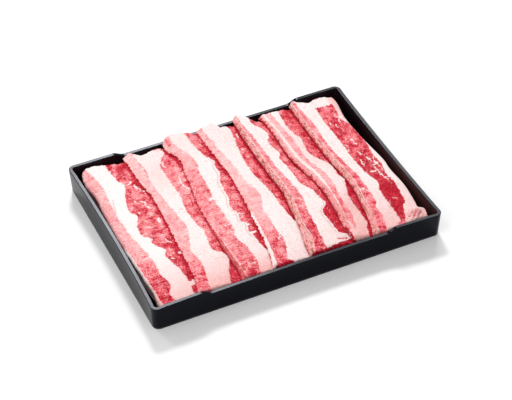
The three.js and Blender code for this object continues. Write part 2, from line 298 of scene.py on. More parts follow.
# %% Stations of each slice: edge is its thickness, left (y, x), crest (y, z), front and back (x, y)
SHAPES = [
    {"edge": 5.0, "cut": 1.3, "thin": [(-88, 4.2), (-50, 3.8), (0, 3.4), (88, 3.4)],
     "left": [(-88, -117.4), (-70, -115.8), (-50, -117), (-20, -118.2), (20, -118), (50, -116.4),
      (70, -118.4), (80, -116.5), (88, -112.5)],
     "crest": [(-88, 19.5), (-40, 21), (20, 21.5), (88, 20.5)],
     "back": [(-118, 83), (-112, 87.5), (-95, 84.5), (-72, 80)]},
    {"edge": 3.8, "thin": [(-88, 2.6), (-60, 1.9), (88, 1.9)],
     "left": [(-88, -85.5), (-70, -81.5), (-50, -79.5), (-30, -78.6), (-10, -77), (30, -75.5), (50, -77.5),
      (88, -79)],
     "crest": [(-88, 20), (-40, 21.5), (20, 22.5), (88, 22.5)],
     "back": [(-78, 86), (-73, 88), (-64, 81), (-52, 83.5), (-46, 82.5), (-38, 78)]},
    {"edge": 4.4, "thin": [(-88, 4.2), (-62, 3.8), (-40, 2.3), (-10, 1.9), (60, 2.0), (88, 2.4)],
     "left": [(-88, -48.4), (-72, -47.4), (-50, -47.8), (-10, -46.5), (10, -45), (30, -41.5), (50, -39.5),
      (58, -37.2), (66, -38.6), (76, -43.5), (88, -43)],
     "crest": [(-88, 20), (-40, 22), (20, 23), (60, 23.5), (88, 26)],
     "back": [(-43, 83.5), (-37, 88.4), (-25, 88.8), (-14, 86.5), (-6, 84)]},
    {"edge": 4.2, "thin": [(-88, 3.6), (-60, 3.0), (-30, 2.1), (88, 2.0)],
     "left": [(-88, -22.5), (-70, -18), (-50, -14.5), (-30, -13), (-10, -10.5), (20, -8), (50, -9.3),
      (88, -11.5)],
     "crest": [(-88, 20), (-40, 22), (20, 23), (60, 23.8), (88, 26)],
     "front": [(-22, -85.4), (-6, -86), (20, -85.2)],
     "back": [(-11, 86.5), (-2, 87.8), (4, 88.8), (9, 84), (26, 83)]},
    {"edge": 5.4, "cut": 1.5, "left": [(-88, 10), (-70, 12.6), (-50, 17), (-30, 19.6), (-10, 22.4),
      (10, 21.4), (50, 21.2), (88, 22.2)],
     "crest": [(-88, 20), (-40, 22.5), (20, 23.8), (60, 24.4), (88, 26.4)],
     "front": [(10, -85.6), (30, -85), (56, -84.4)],
     "back": [(22, 86), (28, 88.8), (34, 87), (40, 82), (50, 80)]},
    {"edge": 4.8, "cut": 1.5, "left": [(-88, 49.5), (-70, 48.6), (-50, 50.6), (-30, 52.3), (-10, 51.2),
      (10, 47.8), (30, 45.6), (50, 46.5), (70, 47), (88, 43.5)],
     "crest": [(-88, 18.5), (-70, 21.5), (-40, 22.5), (20, 23), (88, 22.5)],
     "front": [(48, -84.3), (60, -85.8), (74, -86.4)],
     "back": [(44, 82.5), (52, 85), (64, 86), (82, 84)]},
    {"edge": 5.0, "cut": 1.5, "left": [(-88, 64.5), (-70, 70), (-50, 73.4), (-30, 75.6), (-10, 75.4),
      (10, 74), (50, 74), (88, 75)],
     "crest": [(-88, 20), (-40, 22.5), (20, 23), (88, 23.5)],
     "back": [(75, 86), (78, 88), (84, 85.5), (91, 82), (102, 85.5), (113, 84)]},
]
LAST = len(SHAPES) - 1
FRONT_ENDS = [(-118, -87.6), (-60, -86.8), (0, -86.3), (60, -86.8), (118, -87.6)]
RIGHT_EDGE = [(-88, 113.8), (-82, 115.4), (-77, 116), (-74, 112.6), (-67, 113.6), (-45, 115.8), (-22, 114.8),
              (-10, 115.6), (20, 113), (53, 112), (75, 115), (88, 113.6)]
RIGHT_EDGE_HEIGHT = 19.5
RIGHT_ROUNDING = 1.5
RIGHT_TUCK, LEFT_TUCK = 4.0, 3.0
CURL_X, CURL_Y, CURL_RADIUS, CURL_HEIGHT = 107.5, -80.0, 8.0, 3.2
CROWN = 1.4
WAVE_HEIGHT, WAVE_LENGTH, WAVE_SHIFT = 0.5, 70.0, 2.1
TAIL_WIDTH = 20.0
CLEARANCE = 0.35
FLOOR_TOP = FLOOR_THICKNESS + CLEARANCE
END_ROUNDING, END_LEAN = 2.2, 2.0
print("slices:", len(SHAPES))

# %% [markdown]
# ## The cross-section of a slice
# At any place along a slice, its section is a rounded nose, a top that falls away to the right, and a tail
# that goes down to the floor. The nose is a half circle, the top a power curve with a gentle wave on it, the
# tail an S-curve. The underside follows the tail of the slice before it. Written as functions of y they
# give every section at once, as whole arrays.

# %% Edges, heights and the upper line
EDGE_WOBBLE, EDGE_LUMPS = 0.35, [(1.0, 4.5, 11), (0.6, 1.7, 12)]
ROUND_NOSE, UPRIGHT = 1.15, 0.5
BEND_SHARE = 0.4
SINK_WIDTH = 9.0
NOSE_COLUMNS, TOP_COLUMNS, TAIL_COLUMNS = 15, 78, 10
turn = np.concatenate([np.linspace(0, 1, NOSE_COLUMNS), np.ones(TOP_COLUMNS + TAIL_COLUMNS)])
share = np.concatenate([np.zeros(NOSE_COLUMNS), np.linspace(0, 1, TOP_COLUMNS + 1)[1:],
                        np.ones(TAIL_COLUMNS)])
step = np.concatenate([np.zeros(NOSE_COLUMNS + TOP_COLUMNS), np.linspace(0, 1, TAIL_COLUMNS + 1)[1:]])


def left_edge(i, y):
    """The stations' line with small lumps, as a cut edge has."""
    return along(SHAPES[i]["left"], y) + EDGE_WOBBLE * layered(y, i * 50.0, EDGE_LUMPS)


def thickness(i, y):
    """The thickness at the nose: the line of `thin`, or where a slice has none its whole thickness."""
    whole = SHAPES[i]["edge"]
    return along(SHAPES[i].get("thin", [(-88, whole), (88, whole)]), y)


def top_end(i, y):
    """x and z where a slice's top ends: under the next slice's nose, or at its own right side."""
    if i == LAST:
        return along(RIGHT_EDGE, y), np.full_like(y, RIGHT_EDGE_HEIGHT)
    following = SHAPES[i + 1]
    return left_edge(i + 1, y) + following["edge"] / 2, along(following["crest"], y) - following["edge"]


def top_height(i, x, y):
    """Crest to end as share to the power CROWN, with a wave along y that fades at both sides, and the lump
    of fat at the last slice's front corner."""
    left = left_edge(i, y)
    end_x, end_z = top_end(i, y)
    across = np.clip((x - left) / (end_x - left), 0, 1)
    wave = WAVE_HEIGHT * np.sin(2 * math.pi * y / WAVE_LENGTH + WAVE_SHIFT * i) * np.sin(math.pi * across)
    curl = np.exp(-2 * ((x - CURL_X) ** 2 + (y - CURL_Y) ** 2) / CURL_RADIUS ** 2)
    falling = mix(along(SHAPES[i]["crest"], y), end_z, across ** CROWN)
    return falling + wave + (i == LAST) * CURL_HEIGHT * curl


def upper_line(i, y):
    """x and z of the upper line at every (y, column): the nose, then the top, then the tail. The nose is a
    half circle whose cosine and sine are raised to a power: its lower half to a small one, which makes it
    upright, and its upper half to a larger one, which flattens it towards a slanting cut face. A thin
    slice's top sinks towards its nose by a parabola, so that its edge is low. The last slice has no next
    one: its right side bends over by a quarter circle and then goes down to the floor."""
    shape = SHAPES[i]
    thin = thickness(i, y)
    left = left_edge(i, y)
    shoulder = left + thin / 2
    end_x, end_z = top_end(i, y)
    crest = top_height(i, shoulder, y) - (shape["edge"] - thin)
    foot = top_end(i - 1, y)[1] + CLEARANCE if i else crest - thin
    angle = math.pi * (turn - 0.5)
    cut = np.where(angle < 0, UPRIGHT, shape.get("cut", ROUND_NOSE))
    reach = np.where(angle < 0, shape["edge"], thin) / 2
    nose_x = left + reach * (1 - np.maximum(np.cos(angle), 0) ** cut)
    nose_z = mix(foot, crest, 0.5 + 0.5 * np.sign(np.sin(angle)) * np.abs(np.sin(angle)) ** cut)
    if i:
        nose_z = np.maximum(nose_z, top_height(i - 1, nose_x, y) + CLEARANCE)
    stop = end_x if i < LAST else end_x - RIGHT_ROUNDING
    top_x = mix(shoulder, stop, share)
    sink = np.clip(1 - (top_x - shoulder) / SINK_WIDTH, 0, 1) ** 2
    top_z = top_height(i, top_x, y) - (shape["edge"] - thin) * sink
    if i < LAST:
        tail_x = end_x + TAIL_WIDTH * step
        tail_z = mix(end_z, FLOOR_TOP, ease(step))
    else:
        bend = np.clip(step / BEND_SHARE, 0, 1) * math.pi / 2
        down = np.clip((step - BEND_SHARE) / (1 - BEND_SHARE), 0, 1)
        tail_x = stop + RIGHT_ROUNDING * np.sin(bend) - RIGHT_TUCK * down ** 2
        bent_z = top_height(i, stop, y) - RIGHT_ROUNDING * (1 - np.cos(bend))
        tail_z = mix(bent_z, FLOOR_TOP, down)
    on_nose, on_tail = share == 0, step > 0
    x = np.where(on_nose, nose_x, np.where(on_tail, tail_x, top_x))
    return x, np.where(on_nose, nose_z, np.where(on_tail, tail_z, top_z))


# %% [markdown]
# The underside is hidden, so it is only seven points a section, joined by straight lines. Every column of
# the fine upper line has a partner on it, and the end faces stretch between the two.

# %% The lower line
def lower_points(i, y):
    """Seven points from the nose's foot to the tail's tip: down the tail of the slice before, or for the
    first slice down the tray's left side, and then along the floor."""
    middle = left_edge(i, y) + SHAPES[i]["edge"] / 2
    end_x, _ = top_end(i, y)
    tip = end_x + TAIL_WIDTH if i < LAST else end_x - RIGHT_TUCK
    floor = np.full_like(y, FLOOR_TOP)
    if i == 0:
        left = left_edge(i, y)
        foot = top_height(i, middle, y) - SHAPES[i]["edge"]
        xs = [middle, left + 0.4 * LEFT_TUCK, left + LEFT_TUCK, mix(left, tip, 0.3), mix(left, tip, 0.5)]
        zs = [foot, along(SHAPES[i]["crest"], y) / 3, floor, floor, floor]
    else:
        slope = np.array([0, 0.25, 0.5, 0.75, 1.0])
        before_x, before_z = top_end(i - 1, y)
        xs = [before_x + TAIL_WIDTH * s + CLEARANCE * (s == 1) for s in slope]
        zs = [mix(before_z + CLEARANCE, FLOOR_TOP, ease(s)) for s in slope]
    return np.array([*xs, mix(xs[4], tip, 0.5), tip]), np.array([*zs, floor, floor])


def lower_line(i, y):
    """Straight lines between the seven points, shared out over the columns."""
    xs, zs = lower_points(i, y)
    place = np.linspace(0, 6, y.shape[1])
    k = np.minimum(place.astype(int), 5)
    column = np.arange(y.shape[1])
    row = np.arange(y.shape[0])[:, None]
    part = place - k
    return [mix(p[k, row, column], p[k + 1, row, column], part) for p in (xs, zs)]


# %% [markdown]
# ## The rows along a slice
# In the middle, the rows of a slice's grid are straight across. Towards an end they turn into its uneven
# outline, then round over it, and then go down the end face. The place of a row depends on x and x on the
# place, so both are found by going round five times, which settles to a hundredth of a millimetre.

# %% Rows and the solved sheets
END_Y, MIDDLE_Y, MIDDLE_ROWS, TURN_ROWS = 80.0, 77.0, 285, 16
FACE_SHARES = (0.0, 0.35, 0.6, 0.8, 0.92)
FACE_ROWS = len(FACE_SHARES)
ROUNDS = 5


def row_plan():
    """For each row: hold, its y in the middle; pull, how far it follows the end's outline; inset and drop, a
    quarter circle of the end's rounding; rise, 1 on top and 0 at the foot of the end face; and toward, from
    -1 at the front to 1 at the back."""
    face = [(END_Y, 1.0, 0.0, END_ROUNDING, part) for part in FACE_SHARES]
    round_off = [(END_Y, 1.0, END_ROUNDING * (1 - math.cos(bend)), END_ROUNDING * (1 - math.sin(bend)), 1.0)
                 for bend in np.linspace(0, math.pi / 2, 6)]
    turn_in = [(MIDDLE_Y, 1 - part, END_ROUNDING, 0.0, 1.0) for part in np.linspace(0, 1, TURN_ROWS)[1:-1]]
    end = np.array([*face, *round_off, *turn_in])
    middle = np.array([(abs(y), 0.0, 0.0, 0.0, 1.0) for y in np.linspace(-MIDDLE_Y, MIDDLE_Y, MIDDLE_ROWS)])
    toward = np.concatenate([-np.ones(len(end)), np.linspace(-1, 1, MIDDLE_ROWS), np.ones(len(end))])
    rows = np.concatenate([end, middle, end[::-1]]).T
    return [*rows[:, :, None], toward[:, None]]


hold, pull, inset, drop, rise, toward = row_plan()
side = np.sign(toward) + (toward == 0)
END_LUMPS, FRONT_JAG = [(0.75, 3.2, 21), (0.6, 1.3, 22)], 0.5
LIP_HEIGHT, LIP_RISE = 18.9, 1.2
LIPS = {2: [(-46, 0.5), (-38, 2.4), (-25, 2.6), (-12, 1)], 3: [(-11, 1), (-2, 1.5), (4, 2.6), (9, 0)],
        4: [(22, 1.5), (28, 2.8), (35, 1), (40, 0)]}


def end_outline(i, x, z):
    """y of the slice's end: the stations' line, jagged by small lumps, leaning in towards the floor, and at
    the back of three slices a lip that lies over the tray's low rim."""
    front = along(SHAPES[i].get("front", FRONT_ENDS), x)
    back = along(SHAPES[i]["back"], x)
    jag = layered(x, i * 40.0, END_LUMPS) * np.where(side < 0, FRONT_JAG, 1.0)
    lip = along(LIPS[i], x) * ease((z - LIP_HEIGHT) / LIP_RISE) if i in LIPS else 0
    base = np.where(side < 0, front, back + lip) + jag
    return base - side * (inset + END_LEAN * np.clip(1 - z / TRAY_HEIGHT, 0, 1))


def solve(i, upper):
    """Grid of points (rows, columns, 3) of the upper or the lower sheet."""
    y = side * hold + np.zeros(len(turn))
    for _ in range(ROUNDS):
        x, z = lower_line(i, y)
        if upper:
            top_x, top_z = upper_line(i, y)
            rounded = np.where(step > 0, (1 - step) ** 2, turn)
            x, z = mix(x, top_x, rise), mix(z, top_z - drop * rounded, rise)
        y = mix(side * hold, end_outline(i, x, z), pull)
    return np.stack([x, y, z], axis=-1)


# %% [markdown]
# ## Fat and lean
# Brisket is layered: lean, fat and lean again, in bands along the slice. The layers run through the meat at
# a slant, so the pattern is a plan drawn at the rim's height and pushed through the slice along one slanting
# direction. Each border is a line of stations. From them comes one number for each point, how far it lies
# inside the lean in millimetres, which is easy to roughen later. Flecks and streaks of fat are short strokes
# that cut into it, and patches of lean are added in the same way. Some of these patches are painted shade,
# in the creases beside the next slice and on front end faces. Strands only change the tone.

# %% The bands of each slice: borders (y, x), tones (y, 0 pale to 1 dark), strokes (x, y, x, y, radius, tone)
SLANT_X, SLANT_Y, PLAN_HEIGHT = 0.46, 1.02, 22.0
ALL_FAT = [(0, -1), (1, -1)]
BANDS = [
    {"pink": [(-88, -105.5), (-81, -106.5), (-71, -102.3), (-58, -104.5), (-46, -104), (-32, -104.5),
      (-18, -107.5), (0, -109.5), (18, -110), (35, -109.5), (52, -108), (60, -108.5), (75, -111),
      (86, -113.5)],
     "pink_tone": [(-85, 0.75), (-70, 0.67), (-50, 0.37), (-30, 0.13), (20, 0.13), (50, 0.05), (75, 0.12)],
     "red": [(-88, -89.5), (-73, -88.3), (-60, -88.5), (-40, -93), (-35, -90.5), (-23, -97), (-18, -95.5),
      (-12, -100.5), (-5, -101), (0, -100), (12, -95.5), (18, -99), (30, -97.5), (40, -94.5), (50, -91),
      (60, -94.5), (80, -96.5)],
     "red_tone": [(-70, 0.82), (-50, 0.66), (-30, 0.45), (0, 0.46), (20, 0.42), (50, 0.5), (80, 0.52)],
     "blush": [(-88, 0.7), (-70, 0.4), (-50, 0.16), (-30, 0.0), (80, 0.06)],
     "rim": [(-88, -115.3), (-40, -116.5), (-24, -118), (-14, -122)],
     "fat": [(-103, -36.5, -108.5, -36.8, 0.9), (-82.4, -1.5, -81.6, 1.5, 1.2), (-86, 26.5, -84.5, 21, 0.7),
      (-84.5, 21, -82.3, 15.5, 0.5), (-91, 28, -89.5, 26, 0.6), (-93, 13, -92.5, 14, 0.7),
      (-91.5, 3, -90, 1, 0.6), (-87, -21, -84.5, -25, 0.5), (-84.5, -25, -83, -28.5, 0.45),
      (-81, -42, -80.5, -44, 0.6), (-90, -45, -88.5, -47, 0.7), (-90, 49, -86, 52, 0.5),
      (-84, 47, -80.5, 38, 0.45), (-80.5, 38, -79, 33, 0.45), (-93, -76.5, -85.5, -77, 3.0)],
     # These two lean strokes lie in the crease beside the next slice's edge: painted crease shade, partly
     # the darker wet lean there.
     "lean": [(-80.6, 77, -79.2, 50, 0.9, 0.85), (-79.2, 50, -77.4, 28, 0.7, 0.85)],
     "seams": [(-106, 38, -108, 30, 0.1), (-108, 30, -109.3, 21, 0.1)]},
    {"pink": [(-88, -76), (-72, -72.5), (-60, -70.8), (-42, -72.3), (-36, -70), (-24, -66), (-15, -64.3),
      (0, -66.5), (22, -68), (30, -69), (50, -69.7), (58, -68), (62, -69), (80, -70)],
     "pink_tone": [(-84, 0.5), (-70, 0.42), (-50, 0.2), (-30, 0.05), (-10, 0.1), (50, 0.04), (80, 0.02)],
     "red": [(-90, -60), (-73, -53.5), (-66, -50), (-58, -50.5), (-50, -57), (-28, -54.5), (-20, -56),
      (0, -57.5), (20, -55), (40, -55.5), (60, -55.5), (67, -51.5), (74, -46.5), (84, -45)],
     "red_tone": [(-90, 0.9), (-74, 0.85), (-60, 0.7), (-50, 0.5), (-30, 0.3), (0, 0.36), (20, 0.3),
      (50, 0.3), (65, 0.45), (75, 0.5)],
     "blush": [(-88, 0.82), (-70, 0.4), (-50, 0.12), (-30, 0.0), (20, 0.03), (50, 0.26), (75, 0.13)],
     "fat": [(-63, -19.5, -67.3, -20, 0.7), (-44.5, 45, -48.3, 39, 0.5), (-48.3, 39, -48.7, 33, 0.5),
      (-48.7, 33, -46, 27, 0.5), (-46, 27, -45.5, 22.5, 0.45), (-45.5, 22.5, -48, 19, 0.45),
      (-48, 19, -50.5, 20.5, 0.45), (-53, 66, -51.5, 56, 0.6)],
     "strands": [(-60, v, -48, v + 2.4, 0.0, 0.66)
      for v in (-89, -85.4, -82, -78, -74.8, -71, -67.6)],
     "lean": [(-52, 82.5, -48, 83, 2.0, 0.45), (-69.5, 70, -68.5, 56, 0.35, 0.3),
      # The two strokes below lie in the crease beside the next slice's edge: painted crease shade, partly
      # the darker wet lean there.
      (-45.5, 79, -40.6, 64, 1.5, 0.85), (-40.4, 64, -40.6, 52, 0.9, 0.9)],
     "seams": [(-70, 72, -68.3, 62, 0.1), (-68.3, 62, -69.8, 50, 0.1)]},
    {"pink": [(-88, -34), (-76, -31), (-60, -31.5), (-45, -34.5), (-33, -32), (-20, -32), (0, -32.5),
      (10, -31.5), (30, -29.5), (42, -28.5), (50, -26.5), (65, -28.5), (75, -32.5), (85, -34.5)],
     "pink_tone": [(-88, 0.75), (-78, 0.55), (-65, 0.36), (-50, 0.28), (-30, 0.3), (-10, 0.23), (20, 0.3),
      (50, 0.15), (70, 0.04), (85, 0.1)],
     "red": [(-88, -12), (-76, -17.5), (-60, -20.5), (-40, -22), (-34, -20), (-30, -23.5), (-20, -22),
      (-10, -24), (0, -21), (5, -20.5), (20, -19.5), (30, -15), (40, -15), (45, -13), (50, -14), (55, -17),
      (70, -19.5), (85, -21)],
     "red_tone": [(-70, 0.65), (-50, 0.8), (-30, 0.55), (-10, 0.46), (10, 0.42), (30, 0.52), (60, 0.7),
      (75, 0.28), (85, 0.4)],
     "blush": [(-88, 0.82), (-70, 0.25), (-50, 0.05), (50, 0.0), (75, 0.13)],
     "rim": [(-90, -45.2), (-60, -45.5), (-45, -46), (-25, -46.8), (-12, -50)],
     "rim_tone": [(-84, 0.86), (-60, 0.84), (-45, 0.7), (-25, 0.55)],
     "brown": 0.3, "fat": [(-31, 4.2, -35, 4, 0.7), (-31, -29, -36, -29, 0.8), (-38, -75, -33, -79, 0.5),
      (-24, -22, -20, -21.5, 0.7), (-24, -36, -19, -36.5, 1.1), (-23, -45, -19, -46, 1.0),
      (-44.6, -80, -45.4, -56, 0.03)],
     # The last two lean strokes lie in the crease beside the next slice's edge: painted crease shade, partly
     # the darker wet lean there.
     "lean": [(-38, 82, -37.5, 88, 1.6, 0.4), (-12.8, 72, -10.8, 50, 0.7, 0.85),
      (-10.8, 50, -9.6, 20, 0.6, 0.85)],
     "membrane": (-52, 52)},
    {"pink": [(-88, -9), (-80, -7), (-66, -2.3), (-50, -2.5), (-33, -1.3), (-27, -2.3), (-18, 1), (-8, 4),
      (5, 2), (10, 0.2), (30, -0.3), (50, -2), (63, -4.5), (68, -2.5), (73, -4), (85, -5)],
     "pink_tone": [(-85, 0.5), (-70, 0.5), (-50, 0.27), (-30, 0.05), (-10, 0.1), (20, 0.02), (50, 0.05),
      (80, 0.12)],
     "red": [(-60, 30), (-49, 16.5), (-40, 14), (-30, 13.5), (-10, 13), (5, 11.5), (20, 9.5), (40, 10.3),
      (50, 11.5), (60, 13), (70, 15), (80, 16)],
     "red_tone": [(-45, 0.75), (-30, 0.55), (20, 0.58), (50, 0.55), (60, 0.65), (78, 0.42)],
     "blush": [(-88, 0.26), (-70, 0.08), (-50, 0.02), (75, 0.1)],
     "rim": [(-90, -18.5), (-80, -17), (-60, -13.8), (-40, -12), (-24, -11.5), (-15, -16)],
     "fat": [(18, 70, 18, 64, 0.5), (15, 49, 15, 50, 0.5), (-5, -62, -3, -57, 0.45)],
     # The second lean stroke darkens the front end face as painted shade. The last two lie in the crease
     # beside the next slice's edge: painted crease shade, partly the darker wet lean there.
     "lean": [(-14, -84, -9, -88, 1.2, 0.8), (-20, -90.5, -8, -90, 2.2, 1.1), (20.5, 76, 19.6, 50, 1.4, 0.9),
      (19.6, 50, 19.6, 10, 0.8, 0.8)]},
    {"pink": [(-88, 24), (-80, 25), (-60, 28), (-40, 30), (-27, 33), (-20, 33), (-5, 32.8), (0, 32),
      (20, 30), (40, 30), (60, 29.5), (80, 28), (88, 27.5)],
     "pink_tone": [(-80, 0.54), (-50, 0.55), (-30, 0.47), (-10, 0.28), (50, 0.32), (75, 0.44)],
     "red": [(-88, 50), (-80, 46), (-76, 41.5), (-60, 40.3), (-50, 40), (-46, 41), (-43, 44.5), (-40, 47),
      (-35, 46.5), (-20, 44), (-10, 39.5), (0, 38.5), (10, 38.5), (27, 37.5), (30, 40), (45, 37.5),
      (52, 38.5), (55, 41.5), (65, 41.5), (75, 36.5), (86, 36.5)],
     "red_tone": [(-75, 0.98), (-48, 0.98), (-38, 0.85), (-20, 0.55), (-5, 0.36), (20, 0.48), (45, 0.46),
      (60, 0.45), (78, 0.62)],
     "blush": [(-88, 0.2), (-50, 0.08), (-30, 0.0), (80, 0.03)],
     "rim": [(-88, 13.5), (-80, 16.5), (-70, 19.5), (-60, 20), (-50, 20.5), (-40, 22.5), (-30, 24.5),
      (-20, 26), (0, 26.5), (20, 25.5), (60, 26), (85, 26.5)],
     "rim_tone": [(-70, 0.2), (-50, 0.2), (-20, 0.4), (20, 0.3), (60, 0.3)],
     "brown": 1.0, "fat": [(33.8, -9, 31.2, -9, 0.6)],
     "strands": [(41, v, 47, v + 1.6, 0.0, 0.7)
      for v in (-71, -67.4, -64, -60.2, -57, -53.2, -50, -46.4)],
     # The last two lean strokes darken the front end face as painted shade.
     "lean": [(37, -82, 43, -84.5, 0.8, 0.4), (13, -90.5, 30, -90.5, 3.0, 1.1),
      (30, -90, 50, -89, 3.4, 1.1)],
     "membrane": (-80, -36)},
    {"pink": [(-88, 49), (-80, 52.5), (-76, 56), (-70, 57), (-60, 60), (-40, 60.5), (-20, 63.5), (-10, 63),
      (0, 61.5), (20, 57), (40, 58.5), (60, 57), (80, 56)],
     "pink_from": [(-70, 54), (-60, 54), (-40, 57), (-20, 58), (-10, 58), (0, 57), (20, 53), (40, 52),
      (60, 52), (80, 50)],
     "pink_tone": [(-80, 0.3), (-50, 0.36), (-20, 0.23), (20, 0.18), (50, 0.12), (78, 0.02)],
     "red": [(-88, 61), (-80, 63.5), (-75, 66), (-60, 66.5), (-40, 67.5), (-30, 70.5), (-20, 73.5),
      (-15, 72), (0, 72), (10, 67), (20, 62.5), (30, 62.5), (40, 64.5), (50, 62), (65, 61), (85, 63)],
     "red_tone": [(-75, 0.8), (-60, 0.85), (-30, 0.88), (-10, 0.7), (10, 0.64), (50, 0.66), (75, 0.64)],
     "blush": [(-88, 0.85), (-70, 0.6), (-50, 0.62), (-30, 0.23), (-10, 0.13), (20, 0.23), (60, 0.23),
      (75, 0.06)],
     "rim": [(-88, 44), (-80, 45), (-76, 51.2), (-70, 52.5), (-60, 54), (-50, 54.5), (-40, 55.8), (-30, 57),
      (-20, 56.5), (-10, 55.5), (0, 54.3), (10, 51.5), (20, 50), (40, 50), (60, 50.5), (80, 49)],
     "rim_tone": [(-70, 0.25), (-50, 0.25), (0, 0.2), (60, 0.05)],
     "brown": 0.5, "fat": [(57, -84, 59.5, -87, 1.6)],
     "lean": [(47.6, -73, 48.4, -80, 0.9, 0.95), (48.4, -80, 48.2, -87, 0.7, 0.98)]},
    {"pink": [(-90, 76), (-80, 79), (-70, 81.5), (-62, 80.5), (-55, 84), (-40, 85), (-20, 85.5), (-10, 84),
      (10, 82), (30, 81), (50, 82.5), (60, 82), (80, 80.5)],
     "pink_tone": [(-80, 0.45), (-50, 0.5), (-30, 0.44), (-10, 0.44), (20, 0.4), (60, 0.33), (80, 0.45)],
     "red": [(-87, 90.5), (-80, 91.5), (-60, 92), (-45, 93), (-36, 96), (-20, 93), (0, 91.5), (20, 92),
      (50, 92), (68, 93)],
     "red_to": [(-87, 94), (-80, 97.5), (-70, 101.5), (-66, 105), (-55, 106.5), (-45, 108.5), (-30, 107.5),
      (-15, 110), (-5, 109), (10, 111), (40, 110), (50, 106.5), (55, 107), (65, 109)],
     "red_tone": [(-85, 0.85), (-70, 0.98), (-50, 1.0), (-30, 0.88), (-10, 0.74), (20, 0.6), (50, 0.66),
      (68, 0.55)],
     "red_back": 72.0, "blush": [(-88, 0.7), (-70, 0.45), (-50, 0.26), (-30, 0.1), (75, 0.07)],
     "rim": [(-90, 70), (-80, 72), (-70, 74.5), (-60, 76), (-40, 78.5), (-20, 80), (0, 79), (30, 77.5),
      (60, 77), (85, 77.5)],
     "rim_tone": [(-70, 0.5), (-50, 0.25), (-10, 0.4), (60, 0.3)],
     "brown": 1.0, "fat": [(95.5, 48, 96, 44, 0.45), (99, 44, 99.5, 41, 0.45), (104, 58, 104.5, 52, 0.45),
      (104.5, 52, 103.8, 47, 0.4), (98, 28, 97.5, 24, 0.45), (102, 22, 102.5, 15, 0.5),
      (94, 17, 94.5, 14, 0.45), (93, 11, 92.5, 8, 0.4), (100, 5, 99.5, 1, 0.4), (97, -4, 95, -13, 0.4),
      (103, -4, 103.5, -10, 0.55), (107, -6, 106.5, -14, 0.5), (101, -15, 106, -15, 0.5),
      (103.5, -15, 102.5, -22, 0.45), (102.5, -22, 104.5, -32, 0.5), (106.5, -15, 108, -27, 0.4),
      (104.5, -32, 107.5, -34, 0.6), (97.5, -22, 100.5, -22.5, 0.5), (104.8, -34, 106, -42, 0.35),
      (99, -58, 101, -63, 0.05), (94, -60, 92.5, -68, 0.1), (81, -38, 81, -37, 0.7)],
     "lean": [(91.5, 83.5, 99, 83.5, 1.3, 0.5), (105.6, -77, 99.8, -83, 0.6, 0.36),
      (108.9, -78.6, 102.6, -84.2, 0.7, 0.4), (111.7, -80.8, 105, -85.8, 0.6, 0.36),
      (88, -88, 93, -86, 1.6, 0.5), (72, -83, 74.5, -87, 0.5, 0.8), (69, -91, 75, -90, 0.7, 0.6)]},
]

# %% [markdown]
# The number for each point is a distance in millimetres: how far it is inside a band of lean, or below zero
# how far into the fat. The borders get lumps of two sizes, and strokes of fat are bent by another noise, so
# that no edge is a clean line. Near the next slice the lean is darker, as painted crease shade that is
# partly the darker wet lean there. The foot of an edge, where it rests on the slice before, is darker as
# painted shade. In both places the tone rises.

# %% From a point of the surface to fat and lean
BORDER_LUMPS = [(0.45, 3.1, 31), (0.35, 1.3, 41)]
BACK_END_LUMPS = [(2.0, 3.5, 92), (1.5, 1.1, 93)]
FRINGE_LUMPS = [(0.35, 1.6, 96), (0.35, 0.8, 97)]
VEIN_BEND, VEIN_LUMP = 1.1, 2.4
# Painted shade: widths and tones of the darkening in the crease beside the next slice, which is partly the
# darker wet lean there, and of a painted contact shadow along the line where the two touch.
CREASE_WIDTH, CONTACT_WIDTH, CONTACT_SHADOW_TONE = 5.0, 1.0, 0.35
CREASE_SHADE_TONES = [0.5, 0.15, 0.3, 0.25, 0.15, 0.2]
# Painted shade at the foot of an edge: its tone, height, blur and how far along the slice it reaches.
FOOT_SHADE_TONE, FOOT_SHADE_HEIGHT, FOOT_SHADE_BLUR, FOOT_SHADE_END = 0.95, 0.5, 0.25, 84.0
MEMBRANE_PLACE, MEMBRANE_FADE, LINE_BLUR = 1.9, 3.0, 0.45
CORNER_BLUSH, CORNER_U, CORNER_FADE_U, CORNER_V = 0.6, 106.0, 5.0, 25.0
STREAKY = [0.0, 0.0, 0.0, 0.6, 0.3, 0.4, 1.0]


def to_stroke(u, v, stroke):
    """Distance from (u, v) to the stroke's outline: to the nearest point of its line, less its radius."""
    ax, ay, bx, by, radius = stroke[:5]
    length2 = max((bx - ax) ** 2 + (by - ay) ** 2, 1e-6)
    t = np.clip(((u - ax) * (bx - ax) + (v - ay) * (by - ay)) / length2, 0, 1)
    return np.hypot(u - ax - t * (bx - ax), v - ay - t * (by - ay)) - radius


def foot_shade(i, x, y, z):
    """1 on the lower half of a slice's edge, where it rests on the slice before, with a ragged border: there
    the lean is darkened as painted shade.
    """
    thin = thickness(i, y)
    height = (z - top_height(i - 1, x, y) - CLEARANCE) / thin
    ragged = FOOT_SHADE_HEIGHT + layered(y, z, FRINGE_LUMPS) - height
    return ease(ragged / FOOT_SHADE_BLUR) * (x < left_edge(i, y) + thin / 2) * (np.abs(y) < FOOT_SHADE_END)


